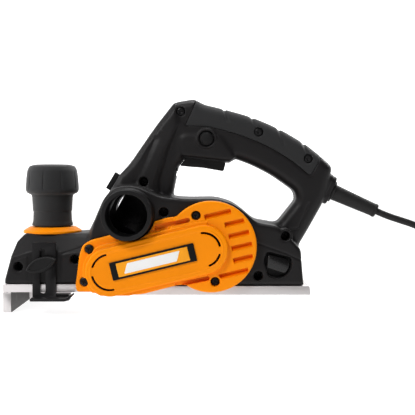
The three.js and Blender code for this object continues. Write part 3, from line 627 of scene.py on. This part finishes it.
def hollow_field(b):
    """The rooms inside: motor, drum, chip channel, front room, tool pocket and switch."""
    rooms = [
        b.rod(*MOTOR, 34, -33, 38.2), b.rod(*MOTOR, 11, -50, 39.6), b.rod(*DRUM, 25.5, -50, 47),
        b.box((-110, -50, -5), (-66, 43, 14)), b.plate(CHIP_ROOM, -30, 30),
        b.rod(*OUTLET, OUTLET_BORE, -60, 60),
        b.plate([(-60, 112), (-44, 138), (-30, 150), (-30, 112)], -14, 14),
        both(outline_distance(FRONT_ROOM, b.y, b.z), np.maximum(-179 - b.x, b.x + 116)),
        both(np.hypot(b.x - KNOB_X, b.y) - 14.6, 49 - b.z),
        b.box((-26, -9.6, 138), (16, 9.6, 161)),
        b.plate([(-27.8, 119), (18.5, 112), (20.5, 127, 1), (17, 131.5), (10, 139), (-27.8, 139)], -8.8, 8.8),
        b.rod(14, 126, 2.2, -11.5, 11.5), b.box((-210, -60, -10), (-100, 60, 10.35)),
    ]
    field = rooms[0]
    for room in rooms[1:]:
        field = np.minimum(field, room)
    return field


def lever_bore(b):
    """The hole along the chip lever's own axis."""
    along = (b.x - LEVER[0]) * math.cos(LEVER_TILT) - (b.z - LEVER[1]) * math.sin(LEVER_TILT)
    across = (b.x - LEVER[0]) * math.sin(LEVER_TILT) + (b.z - LEVER[1]) * math.cos(LEVER_TILT)
    return both(np.hypot(across, b.y) - 3.4, np.maximum(-12 - along, along - 28))


def gland_axes(b):
    """Distances along and across the gland's own axis."""
    along = (b.x - GLAND[0]) * math.cos(GLAND_SLOPE) + (b.z - GLAND[1]) * math.sin(GLAND_SLOPE)
    across = -(b.x - GLAND[0]) * math.sin(GLAND_SLOPE) + (b.z - GLAND[1]) * math.cos(GLAND_SLOPE)
    return along, across


def gland_bore(b, radius=8.9):
    along, across = gland_axes(b)
    return both(np.hypot(across, b.y) - radius, np.maximum(-11 - along, along - 3.5))


def side_details(b, field, sign):
    """Panel lines, steps and recesses of one side face; sign is -1 on the left."""
    # panel line across the rear strut and along the handle's lower half
    strut = b.near_line([(98, 86), (88, 62), (80, 60)])
    lower = b.near_line([(47.6, 49), (74, 39.5), (88, 33)])
    depth = 0.9 * np.exp(-((strut / 0.8) ** 2)) + 0.6 * np.exp(-((lower / 0.8) ** 2))
    # a long shallow step between the front room and the drum house
    step = b.near_line([(-183, 33), (-171, 37), (-170, 37)] if sign < 0 else [(-183, 33), (-138, 45)])
    depth = depth + 0.7 * np.exp(-((step / 0.9) ** 2))
    rise = b.near_line([(-137, 39), (-122, 43.5), (-104, 51)])
    depth = depth + 0.8 * np.exp(-((rise / 1.0) ** 2))
    return field + depth * smooth(sign * b.y, 8, 14)


def housing_field(b, sign):
    field = either(handle_field(b), column_field(b), 3)
    field = either(field, body_field(b), 5)
    # collar around the cord gland
    along, across = gland_axes(b)
    collar = both(both(np.abs(across) - 15, np.abs(b.y) - 13, 8), np.maximum(-16 - along, along + 4.2), 1.2)
    flange = both(np.abs(across) - 14.2, np.abs(b.y) - 12.2, 7)
    flange = both(flange, np.maximum(-8 - along, along + 0.1), 1.0)
    field = np.minimum(either(field, collar, 2.5), flange)
    # swelling around the lock button and the trigger
    swelling = [(-26, 131.4, 3), (-27, 152, 8), (12, 152, 8), (27, 130, 3), (21, 126.2)]
    field = either(field, b.plate(swelling, -20.6, 20.6, 3), 3)
    field = side_details(b, field, sign)
    grip = b.outline(GRIP_SEAM)
    bed = both(handle_field(b) + 2.6, grip - 0.35)
    field = np.minimum(without(field, grip - 0.3), bed)
    field = np.maximum(field, -hollow_field(b))
    for x, z in [(-178.7, 26.9), (-125.3, 33.8), (48, 18.1), (73.7, 55.5)]:
        field = np.minimum(field, b.rod(x, z, 7, -38.5, 38.5))
    field = without(field, b.box((-210, -60, -10), (-100, 60, 10.35)))
    for x, z, face, depth in HOUSING_SCREWS:
        ring = np.hypot(b.x - x, b.z - z)
        if sign < 0:
            field = without(field, both(ring - SCREW_SEAT_R, b.y - face - depth - 3.3), 0.5)
        field = np.maximum(field, -both(ring - SCREW_HOLE_R, np.maximum(face - 2 - b.y, b.y - 12)))
    return np.maximum(np.maximum(field, -lever_bore(b)), -gland_bore(b))


HOLDER_POCKET = [
    (-13.4, 4, 2), (-10, 12.5, 3), (13, 6.5, 3), (13.2, -3, 4), (8, -11, 4), (0, -13.5, 5), (-9, -11, 4),
]


def left_housing():
    b = Block((-196, -44, 6), (126, 0.6, 190), 0.7)
    field = housing_field(b, -1)
    stop_room = [(-170, 5), (-170, 49.5, 2), (-143, 49.5, 4), (-138.5, 43, 2), (-138.5, 5)]
    recess = b.plate(stop_room, -50, -41.2, 0.4)
    strip_room = b.plate([(-165.6, 3), (-165.6, 50.6, 1), (-142, 50.6, 1), (-142, 3)], -50, -41.2)
    field = without(without(field, recess, 0.8), strip_room, 0.4)
    # the pocket round the spanner holder, flat on top and round below
    pocket = [(STORE[0] + dx, STORE[1] + dz, reach) for dx, dz, reach in HOLDER_POCKET]
    field = without(field, b.plate(pocket, -50, -32), 1.0)
    lock = np.hypot(b.x - LOCK[0], b.z - LOCK[1])
    field = either(field, both(np.abs(lock - 8.8) - 1.1, np.maximum(-22.3 - b.y, b.y + 16), 0.6), 0.5)
    field = without(field, both(lock - LOCK[2] - 0.4, b.y + 9), 0.4)
    for x, z, _ in COVER_SCREWS:
        field = np.maximum(field, -b.rod(x, z, SCREW_HOLE_R, -50, -31))
    field = np.maximum(field, -b.rod(*STOP, 2.8, -50, -37))
    # raised root ring of the chip outlet
    root = both(np.hypot(b.x - OUTLET[0], b.z - OUTLET[1]) - 26.5, np.maximum(-SIDE - b.y, b.y + 30), 2)
    field = np.maximum(either(field, root, 3), -b.rod(*OUTLET, OUTLET_BORE, -60, 60))
    return b.mesh("housing_left", both(field, b.y + 0.15, 0.5))


def right_housing():
    b = Block((-196, -0.6, 6), (126, 52, 190), 0.7)
    field = housing_field(b, 1)
    bulge_outline = [(-120, 11), (-120, 42, 5), (-104, 52, 5), (-76, 52, 5), (-56, 38, 5), (-52, 11)]
    bulge = b.plate(bulge_outline, 37, 50, 3)
    lip = b.rod(*OUTLET, 23, 38, 46, 0.8)
    field = either(either(field, bulge, 2), lip, 1.5)
    cheek = b.plate([(-114, 3), (-114, 36, 6), (-100, 46, 8), (-80, 46, 8), (-60, 33, 6), (-57, 3)], 38, 47)
    # a thin corner seat stands in the bore's upper front, beside the vane's edge and clear of the chips' way
    bore = b.rod(*OUTLET, OUTLET_BORE, 10, 60)
    ahead, above = OUTLET[0] - b.x, b.z - OUTLET[1]
    seat = both(both(13.4 - np.maximum(ahead, above), np.maximum(-ahead, -above)), np.abs(b.y - 35) - 3.5)
    bore = np.maximum(bore, -seat)
    for tool in (cheek, b.rod(*DRUM, 25.5, 30, 47), bore,
                 b.box((-110, 0.1, -5), (-66, 60, 11.2))):
        field = np.maximum(field, -tool)
    for i in range(-2, 3):
        z = MOTOR[1] + 9 * i
        slot = b.box((MOTOR[0] - 18, 39, z - 1.8), (MOTOR[0] + 18, 60, z + 1.8))
        field = without(field, slot, 0.6)
    return b.mesh("housing_right", both(field, 0.15 - b.y, 0.5))


def grip(name, sign):
    low, high = (-22, -0.1) if sign < 0 else (0.1, 22)
    b = Block((-34, low, 104), (128, high, 190), 0.5)
    outer = handle_field(b)
    region = b.outline(GRIP_SEAM)
    dip = sum(1.3 * np.exp(-(((b.x - x) + 0.3 * (b.z - z)) / 1.5) ** 2)
              for x, z in ((16, 176), (43, 168), (69, 157), (93, 143)))
    dip = dip * smooth(-region, 7, 11)
    field = both(outer + dip, region, 0.7)
    field = np.maximum(field, -(outer + 2.3))
    for x, z, _, _ in HOUSING_SCREWS[1:3]:
        if sign < 0:
            field = without(field, b.rod(x, z, SCREW_SEAT_R, -30, -10), 0.4)
    field = np.maximum(field, -gland_bore(b))
    return b.mesh(name, both(field, sign * -b.y + 0.15, 0.4))


def screw_mesh():
    """A cross-recess screw along y, its head's face at y = 0."""
    b = Block((-4.6, -0.6, -4.6), (4.6, 15.2, 4.6), 0.16)
    ring = np.hypot(b.x, b.z)
    head = both(both(ring - 3.9, np.maximum(-b.y, b.y - 3), 0.5), 0.35 * np.maximum(ring - 2.2, 0) - b.y, 0.2)
    level = np.maximum(np.abs(b.x) - 2.5, np.abs(b.z) - 0.55)
    upright = np.maximum(np.abs(b.z) - 2.5, np.abs(b.x) - 0.55)
    arms = np.minimum(level, upright)
    centre = ring - 1.1
    recess = np.maximum(np.minimum(arms, centre), b.y - 2.2 + 0.45 * ring)
    shank = both(ring - 1.9, np.maximum(2 - b.y, b.y - 14.5), 0.3)
    return b.mesh("screw", np.minimum(without(head, recess, 0.15), shank))


def screws():
    pattern = screw_mesh()
    pattern.data.transform(Matrix.Translation(-row((0, 0, 0))))
    pattern.data.transform(Matrix.Rotation(0.35, 4, "Y"))
    places = []
    for i, (x, z, face, depth) in enumerate(HOUSING_SCREWS):
        places.append((f"housing_screw_{i + 1}", x, face + depth, z))
    places += [(f"cover_screw_{i + 1}", x, RIM_FACE - 1.4, z) for i, (x, z, _) in enumerate(COVER_SCREWS)]
    for node, x, y, z in places:
        made = bpy.data.objects.new(node + "_detail", pattern.data)
        bpy.context.scene.collection.objects.link(made)
        made.location = row((x, y, z))
        place(made, "body", "dark_steel", node)
    bpy.data.objects.remove(pattern)


place(left_housing(), "body", "shell", "left_housing")
place(right_housing(), "body", "shell", "right_housing")
place(grip("grip_skin_left", -1), "body", "soft_grip", "grip_left")
place(grip("grip_skin_right", 1), "body", "soft_grip", "grip_right")
screws()

# ---------------------------------------------------------------- belt cover


def obround(b, radius):
    return b.near_line([DRUM, MOTOR]) - radius


def arc_groove(b, centre, radius, start, end, width=0.95):
    angles = np.radians(np.linspace(start, end, 10))
    points = [(centre[0] + radius * math.cos(a), centre[1] + radius * math.sin(a)) for a in angles]
    return b.near_line(points) - width


# row counted from the middle of the disc, then where the slot starts and ends along the cover
COOLING_SLOTS = [
    (2.5, 8, 33), (1.5, 24.5, 43), (0.5, 25.5, 45), (-0.5, 25.5, 45), (-1.5, 24.5, 43), (-2.5, 8, 36),
]


def belt_cover():
    b = Block((-128, -60.5, -1), (50, -41.5, 92), 0.45)
    disc_ring = np.hypot(b.x - DISC[0], b.z - DISC[1])
    rim = b.plate(COVER_RIM, RIM_FACE, COVER_INNER, 1.6)
    disc = both(disc_ring - DISC[2], b.between(DISC_FACE, COVER_INNER), 1.8)
    case = both(obround(b, CASE_R), b.between(CASE_FACE, COVER_INNER), 1.4)
    step = both(obround(b, CASE_R + 3.2), b.between(DISC_FACE - 1.5, COVER_INNER), 0.7)
    field = either(either(rim, disc, 1.5), either(case, both(step, b.outline(COVER_RIM)), 0.7), 0.7)
    field = np.maximum(field, -both(obround(b, CASE_R - 2.2), b.between(CASE_FACE + 2, -30)))
    # the pulley side of the disc keeps its thickness, so the cooling slots end in orange
    for row_number, start, end in COOLING_SLOTS:
        u = (b.x - MOTOR[0]) * math.cos(BELT_TILT) + (b.z - MOTOR[1]) * math.sin(BELT_TILT)
        v = -(b.x - MOTOR[0]) * math.sin(BELT_TILT) + (b.z - MOTOR[1]) * math.cos(BELT_TILT)
        middle = row_number * 11.45
        slot = both(np.maximum(start - u, u - end), np.abs(v - middle) - 2.5, 0.5)
        slope = b.y - DISC_FACE - 0.8 - 6.0 * smooth(v, middle - 2.5, middle + 0.6)
        field = without(field, both(slot, slope), 0.35)
    # long relief lines beside the raised case, above at the rear of the outlet and below
    for points in ([(-47.5, 64.5), (-18.5, 71.3)], [(-28.5, 11.5), (0, 17.2)]):
        line = b.near_line(points) - 2.1
        field = without(field, both(line, b.y - RIM_FACE - 3.4), 0.35)
    for centre, radius, start, end in ((DRUM, 16.6, 103, 162), (DRUM, 16.6, 195, 282), (MOTOR, 15.6, 14, 96),
                                       (MOTOR, 15.6, -69, -17)):
        groove = arc_groove(b, centre, radius, start, end)
        field = without(field, both(groove, b.y - CASE_FACE - 1.7), 0.2)
    # a fine raised border round the face of the case
    border = np.abs(obround(b, CASE_R - 4.6)) - 0.5
    field = either(field, both(border, np.maximum(CASE_FACE - 0.35 - b.y, b.y - CASE_FACE - 1)), 0.6)
    for x, z, face in COVER_SCREWS:
        ring = np.hypot(b.x - x, b.z - z)
        field = np.minimum(field, both(ring - 6.2, b.between(face + 0.5, COVER_INNER)))
        field = without(field, both(ring - 4.4, b.y - RIM_FACE - 1.9), 0.5)
        field = np.maximum(field, -(ring - SCREW_HOLE_R))
    port = np.hypot(b.x - OUTLET[0], b.z - OUTLET[1]) - 25.2
    return b.mesh("cover_shell", without(field, port, 0.5))


def badge():
    """A plain plate: black border, amber ends and a blank white field."""
    turn = Matrix.Rotation(-BELT_TILT, 4, "Y")
    pieces = []
    for name, (wide, high), lift, look, skew, shift in (
        ("badge_border", (79.8, 16.9), 0.0, "badge_black", 0.0, 0.0),
        ("badge_field", (68.0, 13.2), 0.25, "badge_amber", 0.0, 0.0),
        ("badge_blank", (50.0, 9.2), 0.5, "badge", 2.6, -1.0),
    ):
        b = Block((-wide / 2 - 4, -1.8, -high / 2 - 2), (wide / 2 + 4, 0.8, high / 2 + 2), 0.3)
        face = both(np.abs(b.x - skew * b.z / 5 - shift) - wide / 2, np.abs(b.z) - high / 2, 0.8)
        field = both(face, np.maximum(-0.6 - lift * 0.7 - b.y, b.y - 0.6), 0.25)
        made = b.mesh(name, field)
        made.data.transform(Matrix.Translation(-row((0, 0, 0))))
        made.data.transform(Matrix.Translation(row((-50.2, CASE_FACE - 0.9, 33.3))) @ turn)
        pieces.append((made, look))
    return pieces


place(belt_cover(), "body", "orange", "belt_cover")
for k, (piece, look) in enumerate(badge()):
    place(piece, "body", "badge", *(["badge_plate"] if k == 0 else []), look=look)

# ---------------------------------------------------------------- knob, outlet, gland


FLUTES = 9


def knob_radius(r, h, angles):
    """Shallow grip flutes round the wide upper part."""
    weight = smooth(h, 97, 101) * (1 - smooth(h, 113, 119))
    flutes = np.exp(-((((angles * FLUTES / (2 * math.pi)) % 1) - 0.5) / 0.03) ** 2)
    return r - 0.6 * weight * flutes


def rounded_profile(profile, reach=0.8):
    """A lathe profile whose inner corners are eased."""
    corners = [(*profile[0], 0), *[(r, h, reach) for r, h in profile[1:-1]], (*profile[-1], 0)]
    return [tuple(p) for p in rounded(corners, 4)]


KNOB_PROFILE = [
    (0.01, 62.8), (18, 62.8), (20.2, 63.6), (18.9, 68), (18.5, 77.4), (19.0, 77.9), (19.6, 88),
    (20.2, 93.6), (24.6, 95.6), (25.8, 98), (25.8, 101.5), (25.2, 110), (24.2, 117.5), (22.2, 121.6),
    (17, 123.2), (8, 123.5), (0.01, 123.5),
]
COLLAR_PROFILE = [
    (14.3, 57.9), (26.5, 57.6), (27.6, 56.2), (28.4, 56.4), (28.3, 58.6), (22.4, 62.2), (14.3, 62.3),
]
SLEEVE_PROFILE = [(0.01, -6), (8.5, -6), (8.5, 0.4), (10.4, 0.5), (10.4, 2.3), (7.9, 3.0), (7.7, 5)]


def sleeve_profile():
    """The bend sleeve: a flange, then a long straight taper and a rounded lip."""
    points = list(SLEEVE_PROFILE)
    for x in np.linspace(6, GLAND_LENGTH - 3, 60):
        taper = 7.7 - 1.3 * (x - 6) / (GLAND_LENGTH - 9)
        points.append((taper, x))
    lip = [(6.75, GLAND_LENGTH - 2.6), (6.8, GLAND_LENGTH - 0.8), (6.3, GLAND_LENGTH), (0.01, GLAND_LENGTH)]
    return [*points, *lip]


def ring_profile(points):
    """A closed ring section: the lathe runs round it and back to its start."""
    return [*points, points[0]]


def lathe_ring(name, profile, centre, axis):
    made = lathe(name, ring_profile(rounded([(*p, 0.5) for p in profile], 4)), centre, axis)
    shaped = bmesh.new()
    shaped.from_mesh(made.data)
    caps = [f for f in shaped.faces if len(f.verts) > 8]
    bmesh.ops.delete(shaped, geom=caps, context="FACES_ONLY")
    bmesh.ops.remove_doubles(shaped, verts=shaped.verts, dist=1e-7)
    bmesh.ops.recalc_face_normals(shaped, faces=shaped.faces)
    shaped.to_mesh(made.data)
    shaped.free()
    return made


knob = lathe("knob_grip", rounded_profile(KNOB_PROFILE, 1.2), (KNOB_X, 0, 0), segments=288,
             shape_radius=knob_radius)
place(knob, "depth_knob", "shell_dark", "depth_knob", look="soft_grip")
collar = lathe_ring("knob_scale_ring", COLLAR_PROFILE, (KNOB_X, 0, 0), "z")
place(collar, "body", "orange", "knob_collar")
PORT_PROFILE = [
    (19.2, 42.3), (24.6, 42.3), (24.6, 45.6), (23.0, 47.6), (23.1, 65.5), (23.4, 66.2), (23.2, 68.6),
    (19.2, 69),
]
port = lathe_ring("chip_port", PORT_PROFILE, (OUTLET[0], 0, OUTLET[1]), "y")
place(port, "body", "shell_dark", "outlet_port")
sleeve = lathe("cord_sleeve", sleeve_profile(), (GLAND[0], 0, GLAND[1]), "gland")
place(sleeve, "body", "rubber", "strain_relief")

# ---------------------------------------------------------------- wing bolts, stop, guide, small parts


def wing_bolt(name, x, y, z, shank, sign):
    """A lens-shaped thumb nut; sign is -1 for one that faces -Y."""
    b = Block((-17, -10.5, -9), (17, shank, 9), 0.35)
    lens = np.hypot(b.x, np.abs(b.z) + 13.2) - 20.0
    wing = both(lens, np.maximum(-9.5 - b.y, b.y + 1.2), 1.2)
    inner = both(np.hypot(b.x, np.abs(b.z) + 13.2) - 17.6, np.maximum(-12 - b.y, b.y + 8.6))
    wing = without(wing, inner, 0.5)
    lines = np.abs((b.x % 1.6) - 0.8) - 0.25
    wing = either(wing, both(both(inner + 0.5, lines), np.maximum(-9.2 - b.y, b.y + 7)), 0.3)
    hub = both(np.hypot(b.x, b.z) - 6, np.maximum(-2 - b.y, b.y), 0.5)
    stem = both(np.hypot(b.x, b.z) - 2.4, np.maximum(-1 - b.y, b.y - shank + 0.3), 0.3)
    made = b.mesh(name, np.minimum(either(wing, hub, 1), stem))
    made.data.transform(Matrix.Translation(-row((0, 0, 0))))
    made.data.transform(Matrix.Rotation(math.radians(-20), 4, "Y"))
    if sign > 0:
        made.data.transform(Matrix.Rotation(math.pi, 4, "Z"))
    made.data.transform(Matrix.Translation(row((x, y, z))))
    return made


stop_wing = wing_bolt("rebate_wing", STOP[0], -44.2, STOP[1], 6.6, -1)
place(stop_wing, "rebate_wing_bolt", "shell_dark", "rebate_wing_bolt")
place(wing_bolt("guide_wing", -168, 46.9, 6, 12, 1), "guide_wing_bolt", "shell_dark", "guide_wing_bolt")

def shade_block_under_shoe():
    """A dark block under the side edge of the front shoe, painted shade for the shadow beneath it."""
    b = Block((-150, -43, -8), (-128, -26, 2), 0.3)
    return b.mesh("guide_shade_block", b.box((-147.5, -41.4, -5.6), (-131, -29, 0.4), 0.7))


SOFTENED = [
    ("base_frame", "body", "aluminium", 0.35), ("front_shoe", "front_shoe", "aluminium", 0.35),
    ("edge_guide", "edge_guide", "aluminium", 0.5), ("rebate_stop", "rebate_stop", "dark_steel", 0.3),
    ("trigger", "trigger", "shell_dark", 0.9), ("chip_lever", "chip_selector", "shell_dark", 0.7),
    ("lock_button", "lock_button", "shell_dark", 0.6), ("spanner_holder", "body", "shell", 1.6),
    ("blade_clamp_1", "drum", "dark_steel", 0.3), ("blade_clamp_2", "drum", "dark_steel", 0.3),
    ("cutter_drum", "drum", "aluminium", 0.3), ("drum_pulley", "drum", "dark_steel", 0.25),
    ("motor_pulley", "rotor", "dark_steel", 0.25), ("chip_deflector", "chip_selector", "steel", 0.3),
    ("switch_body", "body", "shell_dark", 0.5), ("depth_spindle", "depth_knob", "steel", 0.3),
]
for node, body, slot_name, width in SOFTENED:
    gloss = "shell_gloss" if node == "spanner_holder" else None
    piece = place(softened(node, width), body, slot_name, node, look=gloss)
    # the guide's faces turned to +x at its front end get the dark metal as painted shade
    if node == "edge_guide":
        piece.data.materials.append(PAINTS["painted_shade_metal"])
        for face in piece.data.polygons:
            if face.normal.x > 0.9 and face.center.x < -0.17:
                face.material_index = 1

# a dark block under the front shoe as painted shade
place(shade_block_under_shoe(), "edge_guide", "dark_steel")

# the pieces that keep their CAD shape get their own finish
for node, thing in frame["nodes"].items():
    if not thing.hide_render:
        slot_name = next(p["material_slot"] for p in frame["record"]["subparts"] if p["node"] == node)
        thing.data.materials.clear()
        thing.data.materials.append(PAINTS[slot_name])
